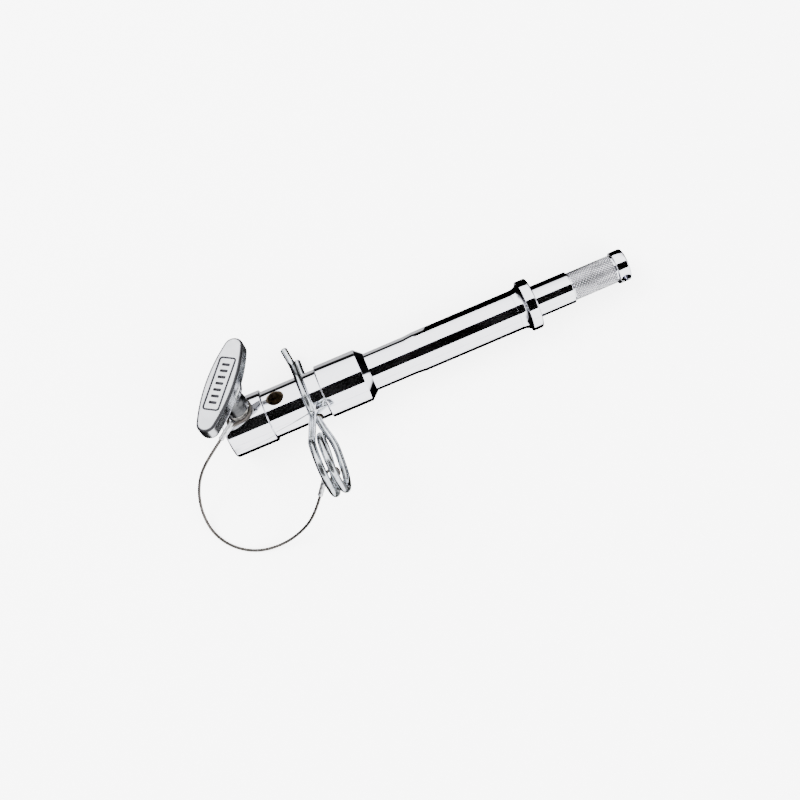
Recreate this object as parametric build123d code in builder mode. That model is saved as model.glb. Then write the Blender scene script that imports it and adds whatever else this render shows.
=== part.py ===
from build123d import *
import os
from math import acos, atan2, cos, degrees, hypot, pi, radians, sin, tan

# Extension adapter for a lighting stand: a receiver with a T-handle clamp at one end, a knurled
# 16 mm stud at the other, and a safety hairpin kept on a wire-rope lanyard.
# Frame: origin at the centre of the receiver's mouth, +X along the tool to the stud's tip, +Z up.
# The tool lies on its side, so the surface under it is at Z = -body_r.

os.makedirs("parts", exist_ok=True)

# ---- Driving dimensions, in millimetres and degrees ----
overall_length = 208.0
body_r = 13.25  # receiver's end section and shoulder section
waist_r = 12.0
neck_r = 9.6
tube_r = 10.0
tube_bore_r = 7.0
collar_r = 12.7
stud_r = 7.95
recess_r = 6.55
head_r = 7.95
bore_r = 8.15

waist_start_x = 21.5
waist_end_x = 50.1
cone_start_x = 70.7
cone_end_x = 74.5
neck_end_x = 97.4
neck_taper = 1.2
flare_start_x = 150.5
collar_start_x = 155.1
collar_end_x = 160.2
recess_start_x = 179.2
recess_end_x = 202.0
edge_break = 0.6
mouth_break = 0.5
step_lean = 0.3
rim_break = 1.0  # rounding of the two ends, turned as two facets
rim_facet = 0.35
tip_facet = 0.3
cone_step = 0.15

bore_seat_x = 39.0
relief_r = 8.6
relief_end_x = 45.7
drill_cone = 3.5
tube_socket_start_x = 56.0
spigot_start_x = 128.0
spigot_break = 1.0
press_gap = 0.02
collar_back_step = 0.5
collar_face_break = 0.9
collar_facet = 0.25
collar_back_break = 0.4
stem_break = 0.5
head_back_break = 0.8
flare_middle = (0.62, 0.34)  # share of the flare's run and of its rise at its middle

cross_angle = 58.5  # clamp screw's rise above the horizontal, towards +Y
clamp_x = 10.2
clip_x = 43.0
sight_hole_x = 28.2
sight_hole_r = 3.7
clip_hole_r = 2.5
head_hole_r = 2.35
head_hole_x = 205.0
countersink = 0.9
countersink_start = 0.3
countersink_depth = 2.0
drill_spare = 1.0  # how far a drill starts and ends outside the metal

screw_r = 4.95
screw_hole_r = 5.0
screw_end_q = 9.9
hub_start_q = 17.5
hub_end_q = 22.6
hub_r = 6.3
hub_break = 0.5
hub_shoulder = 0.6
neck_flare = 1.0
neck_flare_rise = 0.2
neck_overlap = 2.0
waist_of_neck_r = 4.8
waist_of_neck_q = 26.2
bar_start_q = 31.0
bar_end_q = 40.0
bar_half_length = 24.75
bar_half_width = 7.35
bar_tip_r = 4.8
bar_turn = 56.3
bar_face_round = 1.1
bar_back_round = 3.0
tang_r = 3.2
tang_end_q = 34.0
pad_length = 28.0
pad_width = 8.6
pad_rim = 0.9
pad_height = 0.45
pad_corner = 1.6
pad_inner_corner = 0.9

shoe_r = 3.6
shoe_face_q = 8.45
shoe_thickness = 1.3
shoe_stem_r = 1.9
shoe_stem_length = 3.0
shoe_side_play = 0.05
shoe_end_play = 0.3

clip_wire_r = 1.75
coil_r = 13.3
coil_centre_r = 45.9
leg_tip_r = -23.0
leg_bend_r = 15.0
leg_aside_r = 30.0
leg_aside_x = 46.5
leg_bend_round = 14.0
tip_break = 0.6
leave_x = 38.8
joint_gap = 0.35
waist_clearance = 0.3

rope_r = 0.75
ferrule_r = 1.3
handle_eye_r = 6.1
handle_eye_q = 14.2
eye_plane_out = 43.3
rope_lift = 0.05
handle_straight = 8.5  # straight rope beyond each ferrule
clip_straight = 13.5

# ---- Directions and planes ----
clamp_dir = Vector(0, cos(radians(cross_angle)), sin(radians(cross_angle)))
clip_dir = Vector(0, -sin(radians(cross_angle)), cos(radians(cross_angle)))
along = Vector(1, 0, 0)


def clamp_level(height, x=clamp_x):
    """A plane square to the clamp screw's direction, height millimetres out from the tool's axis."""
    return Plane(origin=along * x + clamp_dir * height, x_dir=along, z_dir=clamp_dir)


def clip_level(distance, x):
    """A plane square to the hairpin's straight leg, distance millimetres out from the tool's axis."""
    return Plane(origin=along * x + clip_dir * distance, x_dir=along, z_dir=clip_dir)


def clip_point(out, rise, x):
    """A point of the hairpin: out along its straight leg, rise above that leg, x along the tool."""
    return clip_dir * out + clamp_dir * rise + along * x


def corner_radii(points, share=0.44):
    """The largest tangent arc for each inner point of a route, from its shorter run."""
    radii = []
    for before, here, after in zip(points, points[1:], points[2:]):
        run_in = Vector(here) - Vector(before)
        run_out = Vector(after) - Vector(here)
        half_turn = radians(run_in.get_angle(run_out)) / 2
        radii.append(share * min(run_in.length, run_out.length) / tan(half_turn))
    return radii


# ---- Receiver: end section, waist, shoulder and cone, turned from one bar ----
with BuildPart() as receiver_socket:
    with BuildSketch(Plane.XY):
        with BuildLine():
            Polyline(
                (0, bore_r + mouth_break),
                (0, body_r - rim_break),
                (rim_facet, body_r - rim_facet),
                (rim_break, body_r),
                (waist_start_x - edge_break, body_r),
                (waist_start_x, body_r - edge_break),
                (waist_start_x + step_lean, waist_r),
                (waist_end_x - step_lean, waist_r),
                (waist_end_x, body_r - edge_break),
                (waist_end_x + edge_break, body_r),
                (cone_start_x, body_r),
                (cone_end_x, neck_r + cone_step),
                (cone_end_x, neck_r),
                (tube_socket_start_x, neck_r),
                (tube_socket_start_x, 0),
                (relief_end_x + drill_cone, 0),
                (relief_end_x, relief_r),
                (bore_seat_x, relief_r),
                (bore_seat_x, bore_r),
                (mouth_break, bore_r),
                close=True,
            )
        make_face()
    revolve(axis=Axis.X)
    with BuildSketch(clamp_level(0)):
        Circle(screw_hole_r)
    extrude(amount=body_r + drill_spare, mode=Mode.SUBTRACT)
    with BuildSketch(clamp_level(0, sight_hole_x)):
        Circle(sight_hole_r)
    extrude(amount=body_r + drill_spare, mode=Mode.SUBTRACT)
    with BuildSketch(clip_level(-body_r - drill_spare, clip_x)):
        Circle(clip_hole_r)
    extrude(amount=2 * (body_r + drill_spare), mode=Mode.SUBTRACT)
    # Countersinks where the cross holes break out of the waist
    for outward, x, reach in (
        (clamp_dir, sight_hole_x, sight_hole_r),
        (clip_dir, clip_x, clip_hole_r),
        (-clip_dir, clip_x, clip_hole_r),
    ):
        start = along * x + outward * (waist_r + countersink_start)
        with BuildSketch(Plane(origin=start, x_dir=along, z_dir=-outward)):
            Circle(reach + countersink)
        extrude(amount=countersink_depth, taper=45, mode=Mode.SUBTRACT)
receiver_socket.part.label = "receiver_socket"

# ---- Extension tube: its turned-down neck goes on into the receiver ----
with BuildPart() as extension_tube:
    with BuildSketch(Plane.XY):
        with BuildLine():
            Polyline(
                (tube_socket_start_x, tube_bore_r),
                (tube_socket_start_x, neck_r - press_gap),
                (cone_end_x, neck_r - press_gap),
                (cone_end_x, neck_r),
                (neck_end_x, neck_r),
                (neck_end_x + neck_taper, tube_r),
                (flare_start_x, tube_r),
                (flare_start_x, tube_bore_r),
                close=True,
            )
        make_face()
    revolve(axis=Axis.X)
extension_tube.part.label = "extension_tube"

# ---- Stud: spigot in the tube, concave flare, collar, stem, recess and cross-drilled head ----
flare_rise = collar_r - collar_back_step - tube_r
flare_run = collar_start_x - flare_start_x
with BuildPart() as baby_stud:
    with BuildSketch(Plane.XY):
        with BuildLine():
            Polyline(
                (flare_start_x, tube_r),
                (flare_start_x, tube_bore_r - press_gap),
                (spigot_start_x + spigot_break, tube_bore_r - press_gap),
                (spigot_start_x, tube_bore_r - spigot_break),
                (spigot_start_x, 0),
                (overall_length, 0),
                (overall_length, head_r - rim_break),
                (overall_length - tip_facet, head_r - tip_facet),
                (overall_length - rim_break, head_r),
                (recess_end_x + head_back_break, head_r),
                (recess_end_x, recess_r + stem_break),
                (recess_end_x, recess_r),
                (recess_start_x, recess_r),
                (recess_start_x, stud_r - stem_break),
                (recess_start_x - stem_break, stud_r),
                (collar_end_x, stud_r),
                (collar_end_x, collar_r - collar_face_break),
                (collar_end_x - tip_facet, collar_r - collar_facet),
                (collar_end_x - rim_break, collar_r),
                (collar_start_x + collar_back_break, collar_r),
                (collar_start_x, tube_r + flare_rise),
            )
            ThreePointArc(
                (collar_start_x, tube_r + flare_rise),
                (flare_start_x + flare_middle[0] * flare_run, tube_r + flare_middle[1] * flare_rise),
                (flare_start_x, tube_r),
            )
        make_face()
    revolve(axis=Axis.X)
    with BuildSketch(clip_level(-head_r - drill_spare, head_hole_x)):
        Circle(head_hole_r)
    extrude(amount=2 * (head_r + drill_spare), mode=Mode.SUBTRACT)
baby_stud.part.label = "baby_stud"

# ---- Clamp screw: threaded shank in the receiver's wall, tang cast into the handle ----
with BuildPart() as clamp_screw:
    with BuildSketch(clamp_level(screw_end_q)):
        Circle(screw_r)
    extrude(amount=hub_start_q - screw_end_q)
    with BuildSketch(clamp_level(hub_start_q)):
        Circle(tang_r)
    extrude(amount=tang_end_q - hub_start_q)
    with BuildSketch(clamp_level(screw_end_q)):
        Circle(shoe_stem_r + shoe_side_play)
    extrude(amount=shoe_stem_length + shoe_end_play, mode=Mode.SUBTRACT)
clamp_screw.part.label = "clamp_screw"

# ---- Brass shoe: presses on the stud without turning, its stem swivels in the screw ----
with BuildPart() as clamp_shoe:
    with BuildSketch(clamp_level(shoe_face_q)):
        Circle(shoe_r)
    extrude(amount=shoe_thickness)
    with BuildSketch(clamp_level(shoe_face_q + shoe_thickness)):
        Circle(shoe_stem_r)
    extrude(amount=shoe_stem_length)
clamp_shoe.part.label = "clamp_shoe"

# ---- T-handle: hub, waisted neck and oval bar, cast in one piece round the screw's tang ----
side_arc_r = ((bar_half_length - bar_tip_r) ** 2 + bar_half_width**2 - bar_tip_r**2) / (
    2 * (bar_half_width - bar_tip_r)
)
side_centre = side_arc_r - bar_half_width
centre_gap = side_arc_r - bar_tip_r
tangent_x = (bar_half_length - bar_tip_r) * (1 + bar_tip_r / centre_gap)
tangent_y = bar_tip_r * side_centre / centre_gap
bar_dir = along * cos(radians(bar_turn)) - clip_dir * sin(radians(bar_turn))
screw_line = Axis(origin=(clamp_x, 0, 0), direction=clamp_dir)
bar_plane = Plane(origin=along * clamp_x + clamp_dir * bar_start_q, x_dir=bar_dir, z_dir=clamp_dir)
pad_plane = Plane(origin=along * clamp_x + clamp_dir * bar_end_q, x_dir=bar_dir, z_dir=clamp_dir)
with BuildPart() as t_handle:
    with BuildSketch(bar_plane):
        with BuildLine():
            ThreePointArc((-tangent_x, tangent_y), (0, bar_half_width), (tangent_x, tangent_y))
            ThreePointArc((tangent_x, tangent_y), (bar_half_length, 0), (tangent_x, -tangent_y))
            ThreePointArc((tangent_x, -tangent_y), (0, -bar_half_width), (-tangent_x, -tangent_y))
            ThreePointArc((-tangent_x, -tangent_y), (-bar_half_length, 0), (-tangent_x, tangent_y))
        make_face()
    extrude(amount=bar_end_q - bar_start_q)
    fillet(t_handle.faces().filter_by(screw_line).sort_by(screw_line)[-1].edges(), radius=bar_face_round)
    fillet(t_handle.faces().filter_by(screw_line).sort_by(screw_line)[0].edges(), radius=bar_back_round)
    # Hub and waisted neck, turned about the screw's line
    with BuildSketch(Plane(origin=(clamp_x, 0, 0), x_dir=along, z_dir=clip_dir)):
        with BuildLine():
            Polyline(
                (0, bar_start_q + neck_overlap),
                (0, hub_start_q),
                (hub_r - hub_break, hub_start_q),
                (hub_r, hub_start_q + hub_break),
                (hub_r, hub_end_q - hub_shoulder),
            )
            Spline(
                (hub_r, hub_end_q - hub_shoulder),
                (waist_of_neck_r, waist_of_neck_q),
                (hub_r + neck_flare, bar_start_q + neck_flare_rise),
                tangents=((-hub_shoulder, 1), (1, 1)),
            )
            Polyline(
                (hub_r + neck_flare, bar_start_q + neck_flare_rise),
                (hub_r + neck_flare, bar_start_q + neck_overlap),
                (0, bar_start_q + neck_overlap),
            )
        make_face()
    revolve(axis=screw_line)
    with BuildSketch(clamp_level(hub_start_q)):
        Circle(tang_r)
    extrude(amount=tang_end_q - hub_start_q, mode=Mode.SUBTRACT)
    # Plain raised frame on the bar's outer face
    with BuildSketch(pad_plane):
        RectangleRounded(pad_length, pad_width, pad_corner)
        RectangleRounded(
            pad_length - 2 * pad_rim,
            pad_width - 2 * pad_rim,
            pad_inner_corner,
            mode=Mode.SUBTRACT,
        )
    extrude(amount=pad_height)
t_handle.part.label = "t_handle"

# ---- Hairpin: straight leg through the receiver, two turns of coil, and the waved spring leg ----
coil_step = 45.0
first_bend = (13.2, 5.6)
bend_out = first_bend[0] - coil_centre_r
bend_rise = first_bend[1] - coil_r
bend_reach = hypot(bend_out, bend_rise)
leave_angle = 360 + degrees(atan2(bend_out, -bend_rise)) - degrees(acos(coil_r / bend_reach))


def coil_corner(angle, x, step):
    """Corner between two tangents of the coil, angle turned from the straight leg's side."""
    turn = radians(angle)
    reach = coil_r / cos(radians(step / 2))
    return clip_point(coil_centre_r + reach * sin(turn), coil_r - reach * cos(turn), x)


# The straight leg bends aside where it clears the receiver, then runs into the coil
coil_route = [
    clip_point(leg_tip_r, 0, clip_x),
    clip_point(leg_bend_r, 0, clip_x),
    clip_point(leg_aside_r, 0, leg_aside_x),
]
# Angle turned round the coil, and how far along the tool the wire is there
coil_turns = (
    (22.5, 45.75),
    (67.5, 44.2),
    (112.5, 43.3),
    (157.5, 43.1),
    (202.5, 43.0),
    (247.5, 43.0),
    (292.5, 42.7),
    (337.5, 41.2),
    (382.5, 40.0),
    (427.5, 39.3),
    (472.5, 38.8),
    (517.5, 38.7),
)
for angle, x in coil_turns:
    coil_route.append(coil_corner(angle, x, coil_step))
coil_route.append(coil_corner(360 + (180 + leave_angle) / 2, coil_turns[-1][1], leave_angle - 180))
leave_point = clip_point(
    coil_centre_r + coil_r * sin(radians(leave_angle)),
    coil_r - coil_r * cos(radians(leave_angle)),
    leave_x,
)
coil_route.append(leave_point)
coil_radii = corner_radii(coil_route)
coil_radii[0] = min(coil_radii[0], leg_bend_round)
print("hairpin coil radii", [round(radius, 1) for radius in coil_radii])

with BuildPart() as safety_hairpin:
    with BuildLine():
        FilletPolyline(*coil_route, radius=coil_radii)
    with BuildSketch(Plane(origin=coil_route[0], z_dir=clip_dir)):
        Circle(clip_wire_r)
    sweep()
    chamfer(safety_hairpin.faces().sort_by(Axis((0, 0, 0), clip_dir))[0].edges(), tip_break)
safety_hairpin.part.label = "safety_hairpin"

wrap_r = waist_r + clip_wire_r + waist_clearance
grip_bend = (-16.0, 7.3)
leg_end = (-24.9, 11.0)
grip_reach = hypot(*grip_bend)
leave_tangent = 180 - degrees(acos(-grip_bend[0] / grip_reach)) - degrees(acos(wrap_r / grip_reach))
first_reach = hypot(*first_bend)
meet_tangent = degrees(acos(first_bend[0] / first_reach)) + degrees(acos(wrap_r / first_reach))
top_tangent = (leave_tangent + meet_tangent) / 2


def wrap_corner(low, high, x):
    """Corner between two tangents of the circle that the spring leg follows round the waist."""
    middle = radians((low + high) / 2)
    reach = wrap_r / cos(radians((high - low) / 2))
    return clip_point(reach * cos(middle), reach * sin(middle), x)


spring_route = [
    leave_point,
    clip_point(*first_bend, 41.8),
    wrap_corner(meet_tangent, top_tangent, 42.0),
    wrap_corner(top_tangent, leave_tangent, 42.0),
    clip_point(*grip_bend, 41.1),
    clip_point(*leg_end, 39.8),
]
start_dir = (spring_route[1] - spring_route[0]).normalized()
spring_route[0] = leave_point + start_dir * (clip_wire_r + joint_gap)
spring_radii = [3.0, 13.2, 13.8, 6.0]
print("flex pivot", spring_route[0])
with BuildPart() as hairpin_spring_leg:
    with BuildLine():
        FilletPolyline(*spring_route, radius=spring_radii)
    with BuildSketch(Plane(origin=spring_route[0], z_dir=start_dir)):
        Circle(clip_wire_r)
    sweep()
    with Locations(spring_route[0]):
        Sphere(clip_wire_r)
hairpin_spring_leg.part.label = "hairpin_spring_leg"

# ---- Lanyard: wire rope with a crimped eye at each end ----
floor_z = rope_r - body_r + rope_lift
handle_ferrule_in = Vector(5.8, 3.2, 14.7)
handle_ferrule_out = Vector(-2.4, -2.2, 14.7)
handle_run = (handle_ferrule_out - handle_ferrule_in).normalized()
clip_ferrule_in = Vector(35.4, -38.6, 20.3)
clip_ferrule_out = Vector(30.3, -44.6, 14.0)
clip_run = (clip_ferrule_in - clip_ferrule_out).normalized()
lanyard_route = [
    handle_ferrule_out,
    handle_ferrule_out + handle_run * handle_straight,
    Vector(-18.1, -12.9, 9.2),
    Vector(-24.7, -21.3, 0.4),
    Vector(-28.4, -31.8, -7.6),
    Vector(-28.0, -43.0, floor_z),
    Vector(-21.8, -52.8, floor_z),
    Vector(-11.6, -59.4, floor_z),
    Vector(0.6, -61.0, -11.0),
    Vector(12.6, -58.6, -5.4),
    clip_ferrule_out - clip_run * clip_straight,
    clip_ferrule_out,
]
lanyard_radii = corner_radii(lanyard_route, 0.45)
print("lanyard radii", [round(radius, 1) for radius in lanyard_radii])

with BuildPart() as lanyard_wire:
    with BuildLine() as lanyard_line:
        FilletPolyline(*lanyard_route, radius=lanyard_radii)
    with BuildSketch(Plane(origin=handle_ferrule_out, z_dir=handle_run)):
        Circle(rope_r)
    sweep()
lanyard_wire.part.label = "lanyard_wire"
lanyard_length = lanyard_line.wire().length
lanyard_volume = pi * rope_r**2 * lanyard_length
print("lanyard length", round(lanyard_length, 1))
print("lanyard volume over section times length", round(lanyard_wire.part.volume / lanyard_volume, 4))

with BuildPart() as handle_ferrule:
    with BuildSketch(Plane(origin=handle_ferrule_out, z_dir=-handle_run)):
        Circle(ferrule_r)
    extrude(amount=(handle_ferrule_in - handle_ferrule_out).length)
handle_ferrule.part.label = "handle_ferrule"

with BuildPart() as clip_ferrule:
    with BuildSketch(Plane(origin=clip_ferrule_out, z_dir=clip_run)):
        Circle(ferrule_r)
    extrude(amount=(clip_ferrule_in - clip_ferrule_out).length)
clip_ferrule.part.label = "clip_ferrule"

with BuildPart() as handle_eye:
    with BuildSketch(Plane(origin=along * clamp_x + clamp_dir * handle_eye_q, x_dir=along, z_dir=clip_dir)):
        with Locations((handle_eye_r, 0)):
            Circle(rope_r)
    revolve(axis=screw_line)
handle_eye.part.label = "handle_eye"

# The second eye goes round one of the hairpin coil's lower strands
eye_route = [
    clip_point(eye_plane_out, rise, x)
    for x, rise in (
        (35.5, -2.2),
        (38.6, 2.9),
        (41.8, 3.3),
        (43.46, 1.4),
        (43.46, -1.6),
        (41.2, -3.2),
        (36.4, -3.3),
    )
]
with BuildPart() as clip_eye:
    with BuildLine() as eye_line:
        FilletPolyline(*eye_route, radius=[0.9, 1.5, 1.5, 1.5, 1.5, 1.5, 0.9], close=True)
    with BuildSketch(Plane(origin=eye_line.line @ 0, z_dir=eye_line.line % 0)):
        Circle(rope_r)
    sweep()
clip_eye.part.label = "clip_eye"

parts = (
    receiver_socket,
    extension_tube,
    baby_stud,
    clamp_screw,
    clamp_shoe,
    t_handle,
    safety_hairpin,
    hairpin_spring_leg,
    lanyard_wire,
    handle_ferrule,
    clip_ferrule,
    handle_eye,
    clip_eye,
)
for piece in parts:
    export_step(piece.part, f"parts/{piece.part.label}.step")
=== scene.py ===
from math import acos, atan2, ceil, cos, degrees, hypot, pi, radians, sin, sqrt, tan

import bpy
from mathutils import Matrix, Vector


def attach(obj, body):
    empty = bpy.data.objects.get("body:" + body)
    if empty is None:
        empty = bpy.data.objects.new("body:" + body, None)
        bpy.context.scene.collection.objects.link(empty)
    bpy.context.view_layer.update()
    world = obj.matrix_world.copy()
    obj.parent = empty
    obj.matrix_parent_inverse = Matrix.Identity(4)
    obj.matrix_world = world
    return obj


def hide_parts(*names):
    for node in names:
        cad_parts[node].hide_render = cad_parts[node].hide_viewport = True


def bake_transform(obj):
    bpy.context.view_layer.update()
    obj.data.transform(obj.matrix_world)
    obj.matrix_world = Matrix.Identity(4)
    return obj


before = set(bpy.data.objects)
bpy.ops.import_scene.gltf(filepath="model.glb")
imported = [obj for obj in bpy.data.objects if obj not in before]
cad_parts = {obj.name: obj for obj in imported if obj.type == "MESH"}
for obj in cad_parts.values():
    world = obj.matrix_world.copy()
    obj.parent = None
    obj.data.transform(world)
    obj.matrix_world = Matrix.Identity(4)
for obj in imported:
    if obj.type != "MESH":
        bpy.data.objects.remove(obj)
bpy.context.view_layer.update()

# Lengths below are in millimetres and are turned into metres where meshes are made.
MM = 0.001
CROSS = radians(58.5)  # clamp screw's rise above the horizontal
ALONG = Vector((1, 0, 0))
CLAMP = Vector((0, cos(CROSS), sin(CROSS)))
CLIP = Vector((0, -sin(CROSS), cos(CROSS)))
CLAMP_X = 10.2
CLIP_X = 43.0
SIGHT_HOLE_X = 28.2
HEAD_HOLE_X = 205.0
BODY_R = 13.25
WAIST_R = 12.0
TUBE_R = 10.0
STUD_R = 7.95
ROPE_R = 0.75
FLOOR_Z = -BODY_R


# ---------------------------------------------------------------- materials


def new_material(name):
    """A new node material, its nodes and links, and its main shader."""
    mat = bpy.data.materials.new(name)
    mat.use_nodes = True
    return mat, mat.node_tree.nodes, mat.node_tree.links, mat.node_tree.nodes["Principled BSDF"]


def grain(nodes, links, scale, detail, stretch=(1, 1, 1), seed=(0, 0, 0)):
    """Noise in the part's own coordinates, scale in features per metre."""
    coords = nodes.new("ShaderNodeTexCoord")
    mapping = nodes.new("ShaderNodeMapping")
    mapping.inputs["Scale"].default_value = stretch
    mapping.inputs["Location"].default_value = seed
    noise = nodes.new("ShaderNodeTexNoise")
    noise.inputs["Scale"].default_value = scale
    noise.inputs["Detail"].default_value = detail
    links.new(coords.outputs["Object"], mapping.inputs["Vector"])
    links.new(mapping.outputs["Vector"], noise.inputs["Vector"])
    return noise


def ramp(nodes, links, source, stops):
    """A colour ramp through (place, grey or colour) stops."""
    node = nodes.new("ShaderNodeValToRGB")
    elements = node.color_ramp.elements
    while len(elements) < len(stops):
        elements.new(0.5)
    for element, (place, value) in zip(elements, stops):
        element.position = place
        colour = value if isinstance(value, tuple) else (value, value, value)
        element.color = (*colour, 1)
    links.new(source, node.inputs["Fac"])
    return node


def mixed(nodes, links, factor, first, second):
    """A colour mix whose inputs are sockets, or colours."""
    mix = nodes.new("ShaderNodeMix")
    mix.data_type = "RGBA"
    links.new(factor, mix.inputs["Factor"])
    for name, value in (("A", first), ("B", second)):
        if isinstance(value, tuple):
            mix.inputs[name].default_value = (*value, 1)
        else:
            links.new(value, mix.inputs[name])
    return mix.outputs["Result"]


def metal(name, colour, rough, grain_mm, bump, smudge_mm, shade, stretch=(1, 1, 1), edge=None):
    """Metal with smudged gloss, a fine surface grain and, where asked, raised edges of another colour;
    the casting's near-black edges are a painted dark reflection.

    rough is the roughness in and between the smudges, and shade how much darker the smudges are.
    """
    mat, nodes, links, shader = new_material(name)
    shader.inputs["Metallic"].default_value = 1.0
    smudge = grain(nodes, links, 1000 / smudge_mm, 4.0, stretch, (0.013, 0.007, 0.021))
    gloss = ramp(nodes, links, smudge.outputs["Fac"], ((0.34, rough[0]), (0.68, rough[1])))
    links.new(gloss.outputs["Color"], shader.inputs["Roughness"])
    dark = tuple(c * (1 - shade) for c in colour)
    tone = ramp(nodes, links, smudge.outputs["Fac"], ((0.36, dark), (0.62, colour)))
    top = tone.outputs["Color"]
    if edge is not None:
        geometry = nodes.new("ShaderNodeNewGeometry")
        # Raised edges, found by their pointiness, take the edge colour: on the casting a painted dark
        # reflection.
        raised = ramp(nodes, links, geometry.outputs["Pointiness"], ((0.50, 0.0), (0.535, 1.0)))
        top = mixed(nodes, links, raised.outputs["Color"], top, edge)
    links.new(top, shader.inputs["Base Color"])
    fine = grain(nodes, links, 1000 / grain_mm, 2.0, stretch)
    relief = nodes.new("ShaderNodeBump")
    relief.inputs["Strength"].default_value = bump
    relief.inputs["Distance"].default_value = 0.00002
    links.new(fine.outputs["Fac"], relief.inputs["Height"])
    links.new(relief.outputs["Normal"], shader.inputs["Normal"])
    return mat


chrome = metal("chrome_plate", (0.90, 0.905, 0.965), (0.03, 0.075), 1.4, 0.05, 14, 0.03)
knurl_mat = metal("chrome_knurled", (0.90, 0.90, 0.94), (0.14, 0.24), 0.3, 0.3, 4, 0.08)
# The grooves' darker colour is painted shade in the knurl's grooves.
groove_shade_mat = metal("knurl_grooves_painted_shade", (0.30, 0.30, 0.325), (0.35, 0.50), 0.3, 0.3, 4, 0.10)
bore_mat = metal("bore_bare_steel", (0.34, 0.28, 0.20), (0.30, 0.48), 0.3, 0.35, 4, 0.25, (3, 1, 1))
# Its near-black edge colour is a painted dark reflection along the casting's raised edges.
casting = metal(
    "zinc_casting",
    (0.62, 0.63, 0.66),
    (0.15, 0.26),
    0.55,
    0.55,
    5,
    0.16,
    edge=(0.03, 0.03, 0.035),
)
wire_mat = metal("plated_spring_wire", (0.66, 0.70, 0.74), (0.16, 0.26), 0.5, 0.3, 3, 0.35)
rope_mat = metal("steel_rope", (0.13, 0.12, 0.11), (0.30, 0.45), 0.3, 0.3, 2, 0.25)
ferrule_mat = metal("crimped_aluminium", (0.80, 0.81, 0.83), (0.32, 0.44), 0.35, 0.4, 2, 0.2)
screw_mat = metal("plated_screw", (0.50, 0.49, 0.46), (0.22, 0.34), 0.3, 0.3, 3, 0.2)
brass_mat = metal("turned_brass", (0.78, 0.60, 0.30), (0.22, 0.36), 0.3, 0.3, 3, 0.12)


def shadowed(mat, start, end, amount):
    """Darkens a material's colour below start along the clamp's axis, fading out by end: painted shade
    under the handle's bar.
    """
    nodes, links = mat.node_tree.nodes, mat.node_tree.links
    shader = nodes["Principled BSDF"]
    source = shader.inputs["Base Color"].links[0].from_socket
    coords = nodes.new("ShaderNodeTexCoord")
    height = nodes.new("ShaderNodeVectorMath")
    height.operation = "DOT_PRODUCT"
    height.inputs[1].default_value = CLAMP
    links.new(coords.outputs["Object"], height.inputs[0])
    band = nodes.new("ShaderNodeMapRange")
    band.interpolation_type = "SMOOTHSTEP"
    band.inputs["From Min"].default_value = start * MM
    band.inputs["From Max"].default_value = end * MM
    band.inputs["To Min"].default_value = amount
    links.new(height.outputs["Value"], band.inputs["Value"])
    scaled = nodes.new("ShaderNodeVectorMath")
    scaled.operation = "SCALE"
    links.new(source, scaled.inputs[0])
    links.new(band.outputs["Result"], scaled.inputs["Scale"])
    links.new(scaled.outputs["Vector"], shader.inputs["Base Color"])


# Painted shade on the hub and neck, under the bar.
shadowed(casting, 24.0, 34.0, 0.12)
# A near-black colour for painted dark reflections along the handle's edges.
painted_dark_edge = metal("zinc_painted_dark_edge", (0.05, 0.05, 0.055), (0.25, 0.40), 0.55, 0.4, 5, 0.16)


# ---------------------------------------------------------------- mesh helpers


def mesh_object(name, verts, faces, mat, sharp=32):
    """An object from points in millimetres."""
    mesh = bpy.data.meshes.new(name)
    mesh.from_pydata([Vector(v) * MM for v in verts], [], faces)
    mesh.validate()
    mesh.update()
    obj = bpy.data.objects.new(name, mesh)
    bpy.context.scene.collection.objects.link(obj)
    mesh.materials.append(mat)
    hard(obj, sharp)
    return obj


def hard(obj, angle):
    """Smooth shading, but sharp where faces meet at more than this angle."""
    obj.data.shade_smooth()
    obj.data.set_sharp_from_angle(angle=radians(angle))


def place(obj, body, slot, *nodes):
    """Puts a piece on its body, in place of the CAD nodes named. The slot is not used."""
    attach(obj, body)
    if nodes:
        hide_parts(*nodes)
    return obj


def softened(points):
    """A profile whose points may carry a third number, the radius that rounds that corner."""
    steps = 5
    out = []
    for i, point in enumerate(points):
        if len(point) < 3 or i in (0, len(points) - 1):
            out.append(tuple(point[:2]))
            continue
        here = Vector(point[:2])
        back = (Vector(points[i - 1][:2]) - here).normalized()
        on = (Vector(points[i + 1][:2]) - here).normalized()
        half = acos(max(-1, min(1, back.dot(on)))) / 2
        reach = point[2] / tan(half)
        centre = here + (back + on).normalized() * (point[2] / sin(half))
        first = here + back * reach - centre
        last = here + on * reach - centre
        sweep = first.angle_signed(last)
        for k in range(steps + 1):
            turned = first.copy()
            turned.rotate(Matrix.Rotation(-sweep * k / steps, 2))
            out.append(tuple(centre + turned))
    return out


def ring_at(centre, across, up, radii, twist=0.0):
    """Points round centre, one for each radius, turning from across towards up."""
    ring = []
    for k, radius in enumerate(radii):
        turn = 2 * pi * k / len(radii) + twist
        ring.append(centre + (across * cos(turn) + up * sin(turn)) * radius)
    return ring


def ringed(name, rings, mat, sharp, looped=False):
    """A solid through rings of equally many points, capped at its ends or closed into a loop."""
    rows, count = len(rings), len(rings[0])
    faces = []
    for j in range(rows if looped else rows - 1):
        low, high = j * count, (j + 1) % rows * count
        for k in range(count):
            n = (k + 1) % count
            faces.append((low + k, low + n, high + n, high + k))
    if not looped:
        faces.append(tuple(reversed(range(count))))
        faces.append(tuple(range((rows - 1) * count, rows * count)))
    obj = mesh_object(name, [point for ring in rings for point in ring], faces, mat, sharp)
    outward(obj)
    return obj


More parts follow.
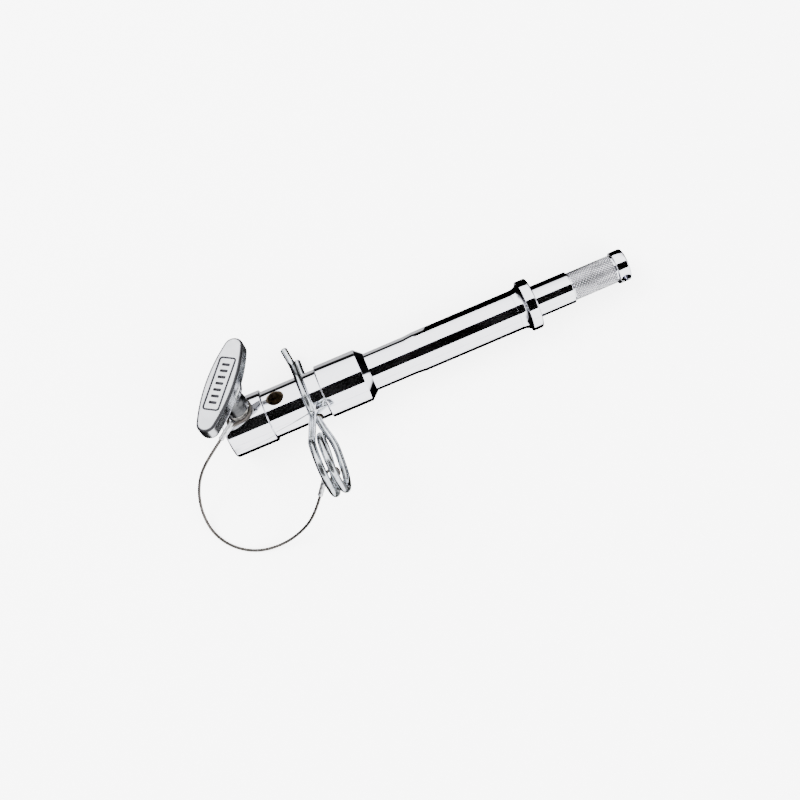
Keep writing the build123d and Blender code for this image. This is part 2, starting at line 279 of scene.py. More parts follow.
def lathe(name, profile, mat, origin=(0, 0, 0), axis=ALONG, *, segments, sharp=32):
    """Turns a profile of (distance along the axis, radius), closed if both ends are off the axis."""
    axis = Vector(axis).normalized()
    side = CLAMP if abs(axis.x) > 0.9 else ALONG
    side = (side - axis * side.dot(axis)).normalized()
    other = axis.cross(side)
    verts, rings, faces = [], [], []
    for a, r in profile:
        base = Vector(origin) + axis * a
        if r < 1e-6:
            rings.append([len(verts)])
            verts.append(base)
            continue
        rings.append(list(range(len(verts), len(verts) + segments)))
        verts += ring_at(base, side, other, [r] * segments)
    pairs = list(zip(rings, rings[1:]))
    if len(rings[0]) > 1 and len(rings[-1]) > 1:
        pairs.append((rings[-1], rings[0]))
    for low, high in pairs:
        for k in range(segments):
            n = (k + 1) % segments
            if len(low) == 1:
                faces.append((low[0], high[n], high[k]))
            elif len(high) == 1:
                faces.append((low[k], low[n], high[0]))
            else:
                faces.append((low[k], low[n], high[n], high[k]))
    obj = mesh_object(name, verts, faces, mat, sharp)
    outward(obj)
    return obj


def outward(obj):
    """Faces of a closed mesh point out of the solid."""
    volume = 0.0
    mesh = obj.data
    mesh.calc_loop_triangles()
    for tri in mesh.loop_triangles:
        a, b, c = (mesh.vertices[v].co for v in tri.vertices)
        volume += a.dot(b.cross(c))
    if volume < 0:
        mesh.flip_normals()


def boolean(obj, operation, *tools):
    """Joins the tools' shapes to obj or takes them out of it, and removes the tools."""
    for tool in tools:
        step = obj.modifiers.new("step", "BOOLEAN")
        step.operation = operation
        step.solver = "EXACT"
        step.object = tool
    apply_modifiers(obj)
    for tool in tools:
        bpy.data.objects.remove(tool)


def cut(obj, *tools, sharp=32):
    """Takes the tools' shapes out of obj; the cut walls keep the tools' material."""
    boolean(obj, "DIFFERENCE", *tools)
    hard(obj, sharp)


def apply_modifiers(obj):
    """The modifiers' result becomes the mesh."""
    bpy.context.view_layer.update()
    depsgraph = bpy.context.evaluated_depsgraph_get()
    mesh = bpy.data.meshes.new_from_object(obj.evaluated_get(depsgraph))
    obj.modifiers.clear()
    old = obj.data
    obj.data = mesh
    bpy.data.meshes.remove(old)


def transport(points):
    """Tangent, normal and binormal at each point, turning as little as possible along the line."""
    count = len(points)
    tangents = []
    for i in range(count):
        tangents.append((points[min(i + 1, count - 1)] - points[max(i - 1, 0)]).normalized())
    normal = tangents[0].orthogonal().normalized()
    frames = []
    for t in tangents:
        normal = (normal - t * normal.dot(t)).normalized()
        frames.append((t, normal, t.cross(normal)))
    return frames


def swept(name, points, radius, mat, ends):
    """A round wire along points, its cut ends broken by a small chamfer."""
    sides = 36
    first = (points[1] - points[0]).normalized()
    last = (points[-1] - points[-2]).normalized()
    line = [points[0], points[0] + first * ends] + points[1:-1] + [points[-1] - last * ends, points[-1]]
    sizes = [radius - ends] + [radius] * (len(line) - 2) + [radius - ends]
    rings = []
    for (_, n, b), centre, r in zip(transport(line), line, sizes):
        rings.append(ring_at(centre, n, b, [r] * sides))
    return ringed(name, rings, mat, 40)


def spline_points(points):
    """Points along the smooth line that takes these as its control points, in millimetres."""
    curve = bpy.data.curves.new("route", "CURVE")
    curve.dimensions = "3D"
    curve.resolution_u = 32
    spline = curve.splines.new("NURBS")
    spline.points.add(len(points) - 1)
    for knot, point in zip(spline.points, points):
        knot.co = (*(Vector(point) * MM), 1)
    spline.order_u = 3
    spline.use_endpoint_u = True
    carrier = bpy.data.objects.new("route", curve)
    bpy.context.scene.collection.objects.link(carrier)
    bpy.context.view_layer.update()
    mesh = bpy.data.meshes.new_from_object(carrier)
    line = [v.co.copy() / MM for v in mesh.vertices]
    bpy.data.objects.remove(carrier)
    bpy.data.meshes.remove(mesh)
    return line


def even(points, step):
    """The same line with points about a step apart, and its length."""
    run = [0.0]
    for a, b in zip(points, points[1:]):
        run.append(run[-1] + (b - a).length)
    count = max(2, ceil(run[-1] / step))
    out, k = [], 0
    for i in range(count + 1):
        want = run[-1] * i / count
        while k < len(run) - 2 and run[k + 1] < want:
            k += 1
        gap = run[k + 1] - run[k]
        out.append(points[k].lerp(points[k + 1], 0 if gap == 0 else (want - run[k]) / gap))
    return out, run[-1]


def stranded(name, line):
    """Steel rope: the outside of six strands laid round each other along the line."""
    strands, strand_sides = 6, 8
    lay_length = 8.0
    line, length = even(line, 0.4)
    step = length / (len(line) - 1)
    lay = ROPE_R * 0.66
    size = ROPE_R - lay
    strand = []
    for k in range(strand_sides):
        lobe = (k - (strand_sides - 1) / 2) / strand_sides * 2 * pi / strands
        strand.append(lay * cos(lobe) + sqrt(max(0.0, size**2 - (lay * sin(lobe)) ** 2)))
    rings = []
    for i, (centre, (_, n, b)) in enumerate(zip(line, transport(line))):
        rings.append(ring_at(centre, n, b, strand * strands, 2 * pi * i * step / lay_length))
    return ringed(name, rings, rope_mat, 55)


# ---------------------------------------------------------------- receiver


def drill(direction, x, radius, start=0.0, end=20.0, mat=bore_mat):
    """A round tool for a hole square to the axis; the hole's wall gets its material."""
    profile = [(start, 0), (start, radius), (end, radius), (end, 0)]
    return lathe("drill", profile, mat, (x, 0, 0), direction, segments=64)


def sink_drill(direction, x, radius, surface, flare):
    """A drill that also opens the hole's edge where it breaks the surface."""
    above = 1.2
    top = surface + above
    profile = [(0, 0), (0, radius), (surface - flare, radius), (top, radius + flare + above), (top, 0)]
    return lathe("drill", profile, bore_mat, (x, 0, 0), direction, segments=64)


receiver_profile = softened(
    [
        (56.0, 0),
        (56.0, 9.6),
        (74.5, 9.6),
        (74.5, 9.85, 0.1),
        (70.7, BODY_R, 0.5),
        (50.1, BODY_R, 0.45),
        (49.85, WAIST_R, 0.3),
        (21.75, WAIST_R, 0.3),
        (21.5, BODY_R, 0.45),
        (0.0, BODY_R, 0.9),
        (0.0, 8.6, 0.2),
        (0.5, 8.15, 0.2),
        (39.0, 8.15),
        (39.0, 8.6),
        (45.7, 8.6),
        (49.2, 0),
    ]
)
BORE_FACES_R = 8.65  # faces nearer to the axis than this, between these two, line the bore
BORE_FACES_START = 0.4
BORE_FACES_END = 49.5
receiver = lathe("receiver_body", receiver_profile, chrome, segments=256)
receiver.data.materials.append(bore_mat)
for face in receiver.data.polygons:
    reach = hypot(face.center.y, face.center.z) / MM
    if reach < BORE_FACES_R and BORE_FACES_START < face.center.x / MM < BORE_FACES_END:
        face.material_index = 1
cut(
    receiver,
    drill(CLAMP, CLAMP_X, 5.0),
    sink_drill(CLAMP, SIGHT_HOLE_X, 3.7, 11.85, 0.55),
    sink_drill(CLIP, CLIP_X, 2.5, WAIST_R, 0.5),
    sink_drill(-CLIP, CLIP_X, 2.5, WAIST_R, 0.5),
)
place(receiver, "receiver", "chrome", "receiver_socket")

# ---------------------------------------------------------------- tube

tube = lathe(
    "tube_body",
    softened(
        [
            (57.0, 7.0),
            (57.0, 9.56),
            (95.6, 9.6, 9.0),
            (100.0, TUBE_R, 9.0),
            (150.45, TUBE_R, 0.12),
            (150.45, 7.0),
            (57.0, 7.0),
        ]
    )[:-1],
    chrome,
    segments=256,
)
place(tube, "receiver", "chrome", "extension_tube")

# ---------------------------------------------------------------- stud

FLARE_X, FLARE_RUN, FLARE_RISE = 150.5, 4.4, 2.15
flare_arc = []
for k in range(13):
    turn = radians(90 * k / 12)
    flare_arc.append((FLARE_X + FLARE_RUN * sin(turn), TUBE_R + FLARE_RISE * (1 - cos(turn))))
stud_profile = softened(
    [(128.0, 0), (128.0, 6.9), (FLARE_X, 6.9)]
    + flare_arc
    + [
        (155.1, 12.7, 0.35),
        (160.2, 12.7, 0.8),
        (160.2, STUD_R, 0.15),
        (179.2, STUD_R, 0.45),
        (179.2, 6.55, 0.1),
        (202.0, 6.55, 0.1),
        (202.0, STUD_R, 0.55),
        (208.0, STUD_R, 0.85),
        (208.0, 0),
    ]
)
stud = lathe("stud_body", stud_profile, chrome, segments=256)
cut(
    stud,
    sink_drill(CLIP, HEAD_HOLE_X, 2.35, 7.9, 0.35),
    sink_drill(-CLIP, HEAD_HOLE_X, 2.35, 7.9, 0.35),
)
place(stud, "receiver", "chrome", "baby_stud")

KNURL_START, KNURL_END = 179.5, 201.7
KNURL_ROOT, KNURL_CREST = 6.5, 7.0
KNURL_TEETH = 27
KNURL_SAMPLES = 8  # points to a tooth, each way
KNURL_FADE = 0.5
KNURL_SINK = 0.25  # the faded ends go this far under the root
GROOVE_SHARE = 0.40
KNURL_FLANK = 1.5  # over 1, so that the pyramids have flat tops


def knurl_rings():
    """Rings of a sleeve of small pyramids between two families of crossed grooves."""
    pitch = 2 * pi * KNURL_ROOT / KNURL_TEETH
    length = KNURL_END - KNURL_START
    rows = ceil(length / pitch * KNURL_SAMPLES)
    rings = []
    for j in range(rows + 1):
        x = KNURL_START + length * j / rows
        fade = min(1.0, (x - KNURL_START) / KNURL_FADE, (KNURL_END - x) / KNURL_FADE)
        v = (x - KNURL_START) / pitch
        radii = []
        for k in range(KNURL_TEETH * KNURL_SAMPLES):
            u = k / KNURL_SAMPLES
            height = min(abs(2 * ((u + v) % 1) - 1), abs(2 * ((u - v) % 1) - 1))
            proud = (KNURL_CREST - KNURL_ROOT) * min(1.0, KNURL_FLANK * height) * fade
            radii.append(KNURL_ROOT + proud - KNURL_SINK * (1 - fade))
        rings.append(ring_at(ALONG * x, CLAMP, CLIP, radii))
    return rings


knurled = ringed("stud_knurl", knurl_rings(), knurl_mat, 20)
# Faces low in the grooves take the darker material: painted shade.
knurled.data.materials.append(groove_shade_mat)
groove_top = (KNURL_ROOT + GROOVE_SHARE * (KNURL_CREST - KNURL_ROOT)) * MM
for face in knurled.data.polygons:
    if hypot(face.center.y, face.center.z) < groove_top:
        face.material_index = 1
place(knurled, "receiver", "chrome")

# ---------------------------------------------------------------- clamp screw and shoe

SCREW_START, SCREW_END = 9.9, 17.9
THREAD_R = 4.93
THREAD_PITCH = 1.5
THREAD_DEPTH = 0.85
THREAD_FLANK = 2.5  # over 2, so that the crests are flat
LEAD_IN, LEAD_DEPTH = 0.9, 0.6


def thread_rings():
    """Rings of a right-hand external thread along the clamp's line."""
    around, per_turn = 72, 12
    length = SCREW_END - SCREW_START
    rows = int(length / THREAD_PITCH * per_turn)
    rings = []
    for j in range(rows + 1):
        q = SCREW_START + length * j / rows
        fade = min(1.0, (q - SCREW_START) / LEAD_IN)
        radii = []
        for k in range(around):
            phase = (q / THREAD_PITCH - k / around) % 1
            crest = min(1.0, max(0.0, THREAD_FLANK * (0.5 - abs(phase - 0.5))))
            radii.append(THREAD_R - THREAD_DEPTH * (1 - crest) - LEAD_DEPTH * (1 - fade))
        centre = ALONG * CLAMP_X + CLAMP * q
        rings.append(ring_at(centre, ALONG, CLAMP.cross(ALONG), radii))
    return rings


screw = ringed("clamp_thread", thread_rings(), screw_mat, 50)
cut(screw, drill(CLAMP, CLAMP_X, 1.98, 9.0, 13.2, screw_mat), sharp=50)
place(screw, "handle", "screw_steel", "clamp_screw")

shoe = lathe(
    "pressure_shoe",
    softened(
        [
            (8.45, 0),
            (8.45, 3.6, 0.4),
            (9.75, 3.6, 0.15),
            (9.75, 1.9, 0.1),
            (12.75, 1.9, 0.3),
            (12.75, 0),
        ]
    ),
    brass_mat,
    (CLAMP_X, 0, 0),
    CLAMP,
    segments=96,
)
place(shoe, "shoe", "brass", "clamp_shoe")

# ---------------------------------------------------------------- T-handle

BAR_TURN = radians(56.3)
BAR_DIR = ALONG * cos(BAR_TURN) - CLIP * sin(BAR_TURN)
BAR_SIDE = CLAMP.cross(BAR_DIR)
BAR_LONG, BAR_WIDE, BAR_TIP = 24.75, 7.35, 4.8
BAR_LOW, BAR_TOP = 31.0, 40.0
BAR_BACK_ROUND, BAR_FACE_ROUND = 3.0, 1.1
ARC_R = ((BAR_LONG - BAR_TIP) ** 2 + BAR_WIDE**2 - BAR_TIP**2) / (2 * (BAR_WIDE - BAR_TIP))


def bar_outline(inset):
    """The bar's oval outline, moved in by inset, as points in its own plane."""
    steps = 26
    tip_x = BAR_LONG - BAR_TIP
    side_y = BAR_WIDE - ARC_R
    lean = atan2(tip_x, -side_y)
    quarter = []
    for k in range(steps + 1):
        angle = lean * k / steps
        r = ARC_R - inset
        quarter.append((r * sin(angle), side_y + r * cos(angle)))
    for k in range(1, steps + 1):
        angle = lean + (pi / 2 - lean) * k / steps
        r = BAR_TIP - inset
        quarter.append((tip_x + r * sin(angle), r * cos(angle)))
    outline = quarter[:]
    outline += [(x, -y) for x, y in reversed(quarter[:-1])]
    outline += [(-x, -y) for x, y in quarter[1:]]
    outline += [(-x, y) for x, y in reversed(quarter[1:-1])]
    return outline


def on_bar(outline, q, shift=0.0):
    """An outline in the bar's plane, q out along the clamp's line and shifted along the bar."""
    centre = ALONG * CLAMP_X + CLAMP * q + BAR_DIR * shift
    return [centre + BAR_DIR * x + BAR_SIDE * y for x, y in outline]


bar_rings = []
for k in range(9):
    turn = radians(90 * k / 8)
    inset = BAR_BACK_ROUND * (1 - sin(turn))
    bar_rings.append(on_bar(bar_outline(inset), BAR_LOW + BAR_BACK_ROUND * (1 - cos(turn))))
for k in range(7):
    turn = radians(90 * k / 6)
    inset = BAR_FACE_ROUND * (1 - cos(turn))
    bar_rings.append(on_bar(bar_outline(inset), BAR_TOP - BAR_FACE_ROUND * (1 - sin(turn))))
handle = ringed("handle_casting", bar_rings, casting, 32)

# The neck narrows from the hub to its waist and then spreads into the bar
HUB_END, HUB_END_R = 22.5, 6.05
NARROWING = 2.9
WAIST_END, NECK_WAIST_R = 26.6, 4.75
SPREAD_END, SPREAD = 32.5, 3.6
NECK_TOP = 35.0
neck_profile = [(17.5, 0), (17.5, 5.7), (17.75, 6.1), (18.2, 6.3), (21.6, 6.3), (HUB_END, HUB_END_R)]
for k in range(1, 17):
    q = HUB_END + (SPREAD_END - HUB_END) * k / 16
    spread = max(0.0, (q - WAIST_END) / (SPREAD_END - WAIST_END)) ** 1.8
    narrowed = min(1.0, (q - HUB_END) / NARROWING)
    narrowed = narrowed * narrowed * (3 - 2 * narrowed)
    neck_profile.append((q, HUB_END_R + (NECK_WAIST_R + SPREAD * spread - HUB_END_R) * narrowed))
neck_profile.append((NECK_TOP, NECK_WAIST_R + SPREAD))
neck_profile.append((NECK_TOP, 0))
neck = lathe("neck", neck_profile, casting, (CLAMP_X, 0, 0), CLAMP, segments=96)
boolean(handle, "UNION", neck)
cast = handle.modifiers.new("cast", "REMESH")
cast.mode = "VOXEL"
cast.voxel_size = 0.00024
calm = handle.modifiers.new("calm", "SMOOTH")
calm.factor = 0.5
calm.iterations = 7
apply_modifiers(handle)
cut(handle, drill(CLAMP, CLAMP_X, 4.98, 10.0, 17.9, casting), sharp=50)
# Faces in this band under the bar's face are painted near-black, a painted dark reflection along the
# face's edge.
EDGE_START, EDGE_END = 0.95, 0.10  # under the bar's face
handle.data.materials.append(painted_dark_edge)
for face in handle.data.polygons:
    if (BAR_TOP - EDGE_START) * MM < face.center.dot(CLAMP) < (BAR_TOP - EDGE_END) * MM:
        face.material_index = len(handle.data.materials) - 1
place(handle, "handle", "zinc_casting", "t_handle")


def rounded_box(half_x, half_y, radius):
    """A rectangle's outline with rounded corners."""
    steps = 6
    outline = []
    for right, up, start in ((1, 1, 0), (-1, 1, 90), (-1, -1, 180), (1, -1, 270)):
        for k in range(steps + 1):
            turn = radians(start + 90 * k / steps)
            x = right * (half_x - radius) + radius * cos(turn)
            outline.append((x, up * (half_y - radius) + radius * sin(turn)))
    return outline


# Raised frame, from outlines that run round its section: inset, height and corner radius
FRAME_HALF_X, FRAME_HALF_Y = 14.0, 4.3
frame_rings = []
for inset, q, radius in (
    (0.0, 39.8, 1.6),
    (0.12, 40.3, 1.5),
    (0.26, 40.42, 1.4),
    (0.69, 40.42, 1.0),
    (0.83, 40.3, 0.9),
    (0.95, 39.8, 0.8),
):
    frame_rings.append(on_bar(rounded_box(FRAME_HALF_X - inset, FRAME_HALF_Y - inset, radius), q))
pad_frame = ringed("handle_frame", frame_rings, casting, 50, looped=True)
place(pad_frame, "handle", "zinc_casting")

# Painted dark reflection: a dark line along the edge of the bar's face
edge_rings = []
for inset, q in ((0.45, 39.5), (0.50, 39.89), (0.85, 40.03), (1.10, 40.03), (1.15, 39.8)):
    edge_rings.append(on_bar(bar_outline(inset), q))
painted_edge_line = ringed("handle_painted_edge_line", edge_rings, painted_dark_edge, 50, looped=True)
place(painted_edge_line, "handle", "zinc_casting")

RIBS = 7
RIB_PITCH = 3.3
RIB_HALF_X, RIB_HALF_Y = 0.75, 2.0
for index in range(RIBS):
    shift = (index - (RIBS - 1) / 2) * RIB_PITCH
    rings = []
    for inset, q in ((0.0, 39.8), (0.1, 40.2), (0.28, 40.34)):
        rings.append(on_bar(rounded_box(RIB_HALF_X - inset, RIB_HALF_Y - inset, 0.4), q, shift))
    rib = ringed(f"handle_rib_{index + 1}", rings, casting, 50)
    place(rib, "handle", "zinc_casting")

# ---------------------------------------------------------------- hairpin

WIRE_R = 1.75
COIL_R = 13.3
COIL_OUT = 45.9
FIRST_BEND = (13.2, 5.6)
GRIP_BEND = (-16.0, 7.3)
LEG_END = (-24.9, 11.0)
WRAP_R = WAIST_R + WIRE_R + 0.3
LEG_TIP = -23.0
FIRST_BEND_X = 41.8
OVERLAP = 0.8  # the coil's wire goes on past where the spring leg starts
SPRING_START = 0.2


def pin_point(out, rise, x):
    """A point out along the straight leg, rise above it and x along the tool."""
    return CLIP * out + CLAMP * rise + ALONG * x


def eased(stops, where):
    """Smooth value through (place, value) stops."""
    slopes = [(v1 - v0) / (p1 - p0) for (p0, v0), (p1, v1) in zip(stops, stops[1:])]
    leans = [slopes[0]] + [(m0 + m1) / 2 for m0, m1 in zip(slopes, slopes[1:])] + [slopes[-1]]
    for i, ((p0, v0), (p1, v1)) in enumerate(zip(stops, stops[1:])):
        if where <= p1:
            h = p1 - p0
            t = (where - p0) / h
            a = (1 + 2 * t) * (1 - t) ** 2 * v0 + t * (1 - t) ** 2 * h * leans[i]
            return a + t * t * (3 - 2 * t) * v1 + t * t * (t - 1) * h * leans[i + 1]
    return stops[-1][1]


bend_out = FIRST_BEND[0] - COIL_OUT
bend_rise = FIRST_BEND[1] - COIL_R
leave = 360 + degrees(atan2(bend_out, -bend_rise)) - degrees(acos(COIL_R / hypot(bend_out, bend_rise)))
# Along the tool: the straight leg's x by its distance out, and the coil's by its angle
leg_x = ((-30, 43.0), (0, 43.0), (14, 43.1), (30, 46.2), (38, 46.3), (46, 46.05))
coil_x = (
    (0, 46.05),
    (45, 45.0),
    (110, 43.4),
    (180, 43.0),
    (250, 42.95),
    (300, 42.3),
    (345, 41.0),
    (382, 40.1),
    (430, 39.35),
    (490, 38.8),
    (540, 38.75),
    (600, 38.8),
)
pin_line = []
leg_steps = 70
for k in range(leg_steps):
    out = LEG_TIP + (COIL_OUT - LEG_TIP) * k / leg_steps
    pin_line.append(pin_point(out, 0, eased(leg_x, out)))
coil_steps = 200
for k in range(coil_steps + 1):
    angle = (360 + leave) * k / coil_steps
    out = COIL_OUT + COIL_R * sin(radians(angle))
    pin_line.append(pin_point(out, COIL_R - COIL_R * cos(radians(angle)), eased(coil_x, angle)))
leave_point = pin_line[-1]
spring_dir = (pin_point(*FIRST_BEND, FIRST_BEND_X) - leave_point).normalized()
pin_line.append(leave_point + spring_dir * OVERLAP)
hairpin = swept("hairpin_coil", pin_line, WIRE_R, wire_mat, 0.6)
place(hairpin, "hairpin", "spring_wire", "safety_hairpin")


def filleted(points, radii):
    """The spring leg's line: straight runs joined by tangent arcs."""
    spacing = 1.2
    out = []
    here = points[0]
    for i, radius in enumerate(radii, 1):
        a = (points[i] - points[i - 1]).normalized()
        b = (points[i + 1] - points[i]).normalized()
        turn = a.angle(b)
        reach = radius * tan(turn / 2)
        start = points[i] - a * reach
        inward = (b - a * a.dot(b)).normalized()
        centre = start + inward * radius
        runs = max(1, int((start - here).length / spacing))
        out += [here.lerp(start, k / runs) for k in range(runs)]
        steps = max(6, int(degrees(turn) / 4))
        for k in range(steps):
            t = turn * k / steps
            out.append(centre - inward * radius * cos(t) + a * radius * sin(t))
        here = points[i] + b * reach
    runs = max(1, int((points[-1] - here).length / spacing))
    out += [here.lerp(points[-1], k / runs) for k in range(runs + 1)]
    return out


grip_reach = hypot(*GRIP_BEND)
off_tangent = 180 - degrees(acos(-GRIP_BEND[0] / grip_reach)) - degrees(acos(WRAP_R / grip_reach))
first_reach = hypot(*FIRST_BEND)
on_tangent = degrees(acos(FIRST_BEND[0] / first_reach)) + degrees(acos(WRAP_R / first_reach))
mid_tangent = (off_tangent + on_tangent) / 2


def wrap_corner(low, high, x):
    """The corner between two tangents of the circle that the leg follows round the waist."""
    middle = radians((low + high) / 2)
    reach = WRAP_R / cos(radians((high - low) / 2))
    return pin_point(reach * cos(middle), reach * sin(middle), x)


spring_line = filleted(
    [
        leave_point + spring_dir * SPRING_START,
        pin_point(*FIRST_BEND, FIRST_BEND_X),
        wrap_corner(on_tangent, mid_tangent, 42.0),
        wrap_corner(mid_tangent, off_tangent, 42.0),
        pin_point(*GRIP_BEND, 41.1),
        pin_point(*LEG_END, 39.8),
    ],
    [3.0, 13.2, 13.8, 6.0],
)
spring = swept("hairpin_spring", spring_line, WIRE_R, wire_mat, 0.5)
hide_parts("hairpin_spring_leg")
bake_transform(spring)

# ---------------------------------------------------------------- lanyard

FERRULE_R = 1.3
handle_in = Vector((5.8, 3.2, 14.7))
handle_out = Vector((-2.4, -2.2, 14.7))
handle_run = (handle_out - handle_in).normalized()
clip_in = Vector((35.4, -38.6, 20.3))
clip_out = Vector((30.3, -44.6, 14.0))
clip_run = (clip_in - clip_out).normalized()
rope_z = FLOOR_Z + ROPE_R + 0.05
rope_route = [
    handle_out,
    handle_out + handle_run * 8.5,
    (-18.1, -12.9, 9.2),
    (-24.7, -21.3, 0.4),
    (-28.4, -31.8, -7.6),
    (-28.0, -43.0, rope_z),
    (-21.8, -52.8, rope_z),
    (-11.6, -59.4, rope_z),
    (0.6, -61.0, -11.0),
    (12.6, -58.6, -5.4),
    clip_out - clip_run * 13.5,
    clip_out,
]
rope_line, rope_length = even(spline_points(rope_route), 0.8)
rope = stranded("lanyard_rope", rope_line)
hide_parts("lanyard_wire")


def ferrule(name, start, end, body, node):
    """A pressed sleeve with the marks of its crimping jaws."""
    marks, mark_depth = 3, 0.17
    rim = 0.4
    length = (end - start).length
    profile = [(0.0, 0.0), (0.0, FERRULE_R - 0.35), (0.18, FERRULE_R - 0.1), (rim, FERRULE_R)]
    for k in range(1, 40):
        wave = 0.5 - 0.5 * cos(2 * pi * marks * k / 40)
        profile.append((rim + (length - 2 * rim) * k / 40, FERRULE_R - mark_depth * wave**2))
    profile += [(length - s, r) for s, r in reversed(profile[:4])]
    way = (end - start).normalized()
    obj = lathe(name, profile, ferrule_mat, start, way, segments=40, sharp=50)
    return place(obj, body, "ferrule", node)


handle_sleeve = ferrule("ferrule_handle", handle_out, handle_in, "receiver", "handle_ferrule")
clip_sleeve = ferrule("ferrule_clip", clip_out, clip_in, "hairpin", "clip_ferrule")
TAIL_IN = 2.5  # how far each end of an eye goes into its ferrule
TAIL_BACK_IN = 2.3
TAIL_ASIDE = CLIP * 0.1


def rope_eye(name, inner, run, corners, body, node):
    """A small eye of the same rope that leaves a ferrule's inner end and comes back to it."""
    points = [inner + run * TAIL_IN, *corners, inner + run * TAIL_BACK_IN + TAIL_ASIDE]
    return place(stranded(name, spline_points(points)), body, "wire_rope", node)


# Eye round the clamp screw: in the plane square to the screw, from the ferrule and back to it
EYE_R = 6.1
EYE_STEPS = 8
EYE_OPENING = 76  # degrees left free at the ferrule
eye_centre = ALONG * CLAMP_X + CLAMP * 14.2
eye_sweep = 360 - EYE_OPENING
ferrule_turn = degrees(atan2((handle_in - eye_centre).dot(CLIP), (handle_in - eye_centre).x))
corner_reach = EYE_R / cos(radians(eye_sweep / EYE_STEPS / 2))
eye_corners = []
for k in range(EYE_STEPS + 1):
    turn = radians(ferrule_turn + EYE_OPENING / 2 + eye_sweep * k / EYE_STEPS)
    eye_corners.append(eye_centre + (ALONG * cos(turn) + CLIP * sin(turn)) * corner_reach)
handle_eye = rope_eye("lanyard_eye_handle", handle_in, handle_run, eye_corners, "receiver", "handle_eye")

# Eye round one of the hairpin coil's lower strands
eye_corners = []
for x, rise in ((37.9, 3.2), (40.6, 3.9), (43.46, 3.6), (43.46, -3.2), (40.6, -3.7)):
    eye_corners.append(pin_point(43.3, rise, x))
clip_eye = rope_eye("lanyard_eye_clip", clip_in, -clip_run, eye_corners, "hairpin", "clip_eye")

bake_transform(rope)

# ---------------------------------------------------------------- stage, light and camera

floor_mat, nodes, links, shader = new_material("paper_sweep")
shader.inputs["Roughness"].default_value = 0.9
fibre = grain(nodes, links, 500, 4.0)
paper = ramp(nodes, links, fibre.outputs["Fac"], ((0.3, (0.93, 0.93, 0.93)), (0.7, (0.95, 0.95, 0.95))))
links.new(paper.outputs["Color"], shader.inputs["Base Color"])
shader.inputs["Emission Color"].default_value = (1, 1, 1, 1)
shader.inputs["Emission Strength"].default_value = 3.5

FLOOR_HALF = 3000


def flat(x0, y0, x1, y1, z):
    """Corners of a level rectangle."""
    return [(x0, y0, z), (x1, y0, z), (x1, y1, z), (x0, y1, z)]


floor_corners = flat(-FLOOR_HALF, -FLOOR_HALF, FLOOR_HALF, FLOOR_HALF, FLOOR_Z - 0.02)
floor = mesh_object("sweep_floor", floor_corners, [(0, 1, 2, 3)], floor_mat)
floor.visible_glossy = False


def card(name, corners, grey=0.0):
    """A matt studio card that only the shiny surfaces see."""
    mat, _, _, shader = new_material(name)
    shader.inputs["Base Color"].default_value = (grey, grey, grey, 1)
    shader.inputs["Roughness"].default_value = 1.0
    shader.inputs["Specular IOR Level"].default_value = 0.0
    obj = mesh_object(name, corners, [(0, 1, 2, 3)], mat)
    obj.visible_camera = False
    obj.visible_diffuse = False
    obj.visible_shadow = False


card("card_over_camera", flat(-700, -375, 900, 190, 620))
card(
    "card_seam",
    [(-1500, -1500, 415), (2000, -1500, 415), (2000, -1500, 440), (-1500, -1500, 440)],
    0.25,
)
card("card_far_floor", [(x, y, -13.1) for x, y in ((108, 14), (420, 14), (420, 500), (96, 500))])
# A black sheet on the floor under the tool, seen only in reflections: a painted shadow of the tool.
card("painted_shadow_under_tool", flat(-8, -36, 216, 0, -13.15))

# The paper goes on up all round, where only the camera sees it
WALL_R = 2900
WALL_STEPS = 16
wall_turns = [pi / 2 * k / WALL_STEPS for k in range(WALL_STEPS + 1)]
wall = lathe(
    "sweep_wall",
    [(FLOOR_Z + WALL_R * sin(turn), WALL_R * cos(turn)) for turn in wall_turns],
    floor_mat,
    axis=(0, 0, 1),
    segments=96,
)
wall.visible_glossy = False
wall.visible_diffuse = False
wall.visible_shadow = False

# White studio all round and over the tool, with the room's dark edge low behind it
world = bpy.data.worlds.new("studio")
bpy.context.scene.world = world
world.use_nodes = True
sky_nodes, sky_links = world.node_tree.nodes, world.node_tree.links


def maths(operation, *values):
    """A maths node of the sky, whose inputs are sockets or numbers."""
    node = sky_nodes.new("ShaderNodeMath")
    node.operation = operation
    for socket, value in zip(node.inputs, values):
        if isinstance(value, float):
            socket.default_value = value
        else:
            sky_links.new(value, socket)
    return node.outputs["Value"]


def gate(source, start, end):
    """Rises from 0 at start to 1 at end."""
    node = sky_nodes.new("ShaderNodeMapRange")
    node.interpolation_type = "SMOOTHSTEP"
    node.inputs["From Min"].default_value = start
    node.inputs["From Max"].default_value = end
    sky_links.new(source, node.inputs["Value"])
    return node.outputs["Result"]


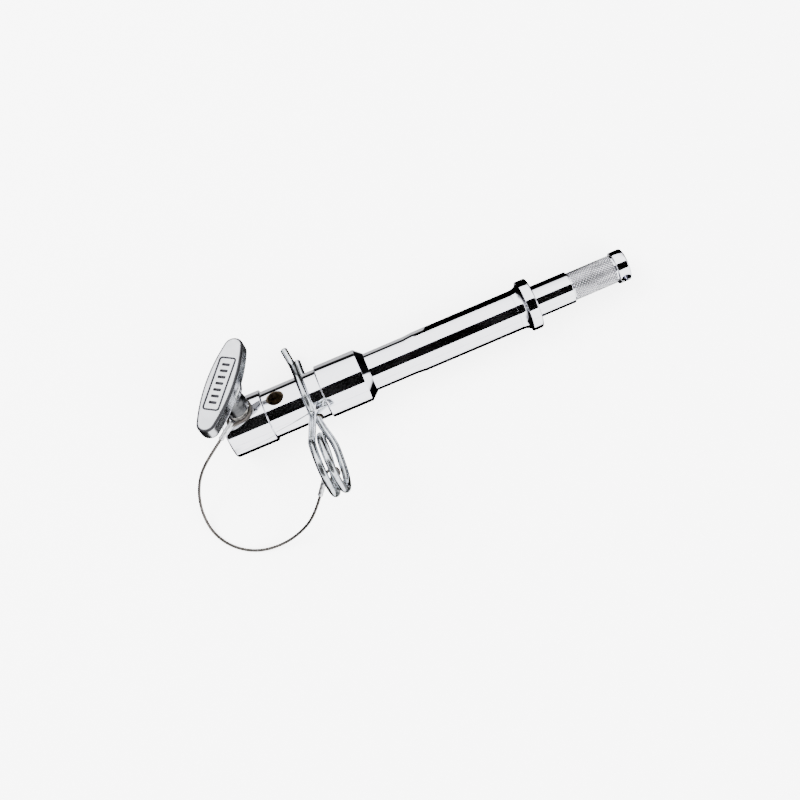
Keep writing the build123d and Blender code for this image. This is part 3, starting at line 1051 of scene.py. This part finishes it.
heading = sky_nodes.new("ShaderNodeTexCoord").outputs["Generated"]
lean = sky_nodes.new("ShaderNodeVectorMath")
lean.operation = "DOT_PRODUCT"
lean.inputs[1].default_value = (-0.25, -0.153, 0.5)
sky_links.new(heading, lean.inputs[0])
sky = ramp(
    sky_nodes,
    sky_links,
    maths("ADD", lean.outputs["Value"], 0.5),
    ((0.09, 0.20), (0.14, 0.001), (0.26, 0.001), (0.30, 0.85), (0.55, 1.0)),
)

# Past the ends of the tool the room is dark low down, and hazy above that
apart = sky_nodes.new("ShaderNodeSeparateXYZ")
sky_links.new(heading, apart.inputs[0])
to_x, to_y, to_z = apart.outputs
aside = maths("ABSOLUTE", to_x)
side = maths("MAXIMUM", gate(to_y, -0.04, 0.04), gate(to_x, -0.10, -0.20))
low = gate(maths("MULTIPLY_ADD", aside, -0.35, to_z), 0.06, -0.12)
bottom = gate(to_z, -0.72, -0.82)
dark = maths("MAXIMUM", maths("MULTIPLY", low, side), bottom)
dark = maths("MULTIPLY", gate(aside, 0.20, 0.32), dark)
dim = maths("MULTIPLY", maths("MULTIPLY", gate(to_z, 0.70, 0.35), gate(aside, 0.22, 0.50)), side)
hazy = mixed(sky_nodes, sky_links, dim, sky.outputs["Color"], (0.12, 0.12, 0.13))
shade = mixed(sky_nodes, sky_links, dark, hazy, (0.001, 0.001, 0.0011))
sky_links.new(shade, sky_nodes["Background"].inputs["Color"])
sky_nodes["Background"].inputs["Strength"].default_value = 4.0

AIM = Vector((0.08, 0, 0))


def area_light(name, where, size, power):
    """A square soft light aimed at the tool, which the shiny surfaces don't mirror."""
    data = bpy.data.lights.new(name, "AREA")
    data.shape = "SQUARE"
    data.size = size
    data.energy = power
    lamp = bpy.data.objects.new(name, data)
    bpy.context.scene.collection.objects.link(lamp)
    lamp.location = Vector(where)
    lamp.visible_glossy = False
    lamp.rotation_euler = (AIM - Vector(where)).to_track_quat("-Z", "Y").to_euler()


area_light("key", (-0.5, 0.7, 1.1), 0.7, 30)
area_light("fill", (0.6, -0.8, 0.9), 0.8, 12)

camera_data = bpy.data.cameras.new("camera")
camera_data.sensor_width = 36
camera_data.lens = 50.36
camera_data.clip_start = 0.02
camera = bpy.data.objects.new("camera", camera_data)
bpy.context.scene.collection.objects.link(camera)
camera.location = (0.0824, -0.018, 0.540)
camera.rotation_euler = (0, 0, radians(-23.05))
bpy.context.scene.camera = camera
